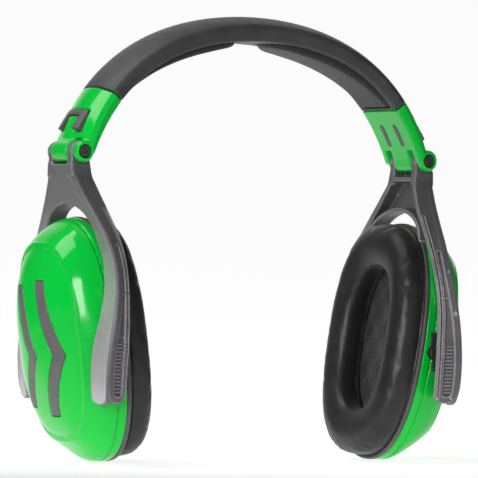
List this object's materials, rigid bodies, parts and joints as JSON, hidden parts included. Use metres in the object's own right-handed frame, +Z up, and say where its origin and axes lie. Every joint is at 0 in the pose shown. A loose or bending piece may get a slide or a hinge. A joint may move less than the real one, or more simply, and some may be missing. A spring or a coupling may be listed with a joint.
{
  "type": "earmuff hearing protector",
  "caption": "Folding over-the-head earmuff with gloss ear cups held in wishbone forks, a padded headband and soft leatherette ear cushions.",
  "frame": {"origin": "middle of the headband's underside, where it rests on the crown of the head", "axes": "+Z up, +X towards the wearer's one ear along the line between the ear cups, +Y from the front of the cups to the back"},
  "size_m": [0.1898, 0.0842, 0.1776],
  "materials": {
    "band_plastic": "fine moulded texture, satin",
    "comfort_pad": "soft matt elastomer",
    "green_plastic": "high gloss, polished mould",
    "grip_key": "satin",
    "fork_plastic": "satin, brighter on the outer face",
    "carrier_plastic": "satin",
    "accent_strip": "satin",
    "rim_plastic": "satin",
    "leatherette": "smooth, soft sheen",
    "foam": "open-cell foam",
    "steel": "zinc-plated spring steel"
  },
  "bodies": {
    "headband": {"headband_shell": "band_plastic", "headband_spring": "steel", "left_comfort_pad": "comfort_pad", "left_band_end": "green_plastic", "left_grip_key": "grip_key", "left_hinge_pin": "steel", "left_hinge_cap": "steel", "right_comfort_pad": "comfort_pad", "right_band_end": "green_plastic", "right_grip_key": "grip_key", "right_hinge_pin": "steel", "right_hinge_cap": "steel"},
    "left_fork_body": {"left_fork": "fork_plastic"},
    "left_carriers": {"left_carrier_front": "carrier_plastic", "left_carrier_rear": "carrier_plastic"},
    "left_cup": {"left_cup_shell": "green_plastic", "left_accent_strip_front": "accent_strip", "left_accent_strip_rear": "accent_strip", "left_cup_baseplate": "rim_plastic", "left_cushion_clip_ring": "rim_plastic", "left_ear_cushion": "leatherette", "left_foam_liner": "foam"},
    "right_fork_body": {"right_fork": "fork_plastic"},
    "right_carriers": {"right_carrier_front": "carrier_plastic", "right_carrier_rear": "carrier_plastic"},
    "right_cup": {"right_cup_shell": "green_plastic", "right_accent_strip_front": "accent_strip", "right_accent_strip_rear": "accent_strip", "right_cup_baseplate": "rim_plastic", "right_cushion_clip_ring": "rim_plastic", "right_ear_cushion": "leatherette", "right_foam_liner": "foam"}
  },
  "joints": [
    {"name": "left_fold", "type": "hinge", "parent": "headband", "child": "left_fork_body", "pos_m": [-0.0775, 0, -0.04547], "axis": [0, 1, 0], "range_deg": [-78, 0]},
    {"name": "left_height", "type": "slide", "parent": "left_fork_body", "child": "left_carriers", "axis": [-0.0523, 0, -0.9986], "range_m": [-0.0015, 0.012]},
    {"name": "left_tilt", "type": "hinge", "parent": "left_carriers", "child": "left_cup", "pos_m": [-0.0712, 0, -0.12247], "axis": [0, 1, 0], "range_deg": [-4, 4]},
    {"name": "right_fold", "type": "hinge", "parent": "headband", "child": "right_fork_body", "pos_m": [0.0775, 0, -0.04547], "axis": [0, 1, 0], "range_deg": [0, 78]},
    {"name": "right_height", "type": "slide", "parent": "right_fork_body", "child": "right_carriers", "axis": [0.0523, 0, -0.9986], "range_m": [-0.0015, 0.012]},
    {"name": "right_tilt", "type": "hinge", "parent": "right_carriers", "child": "right_cup", "pos_m": [0.0712, 0, -0.12247], "axis": [0, 1, 0], "range_deg": [-4, 4]}
  ]
}
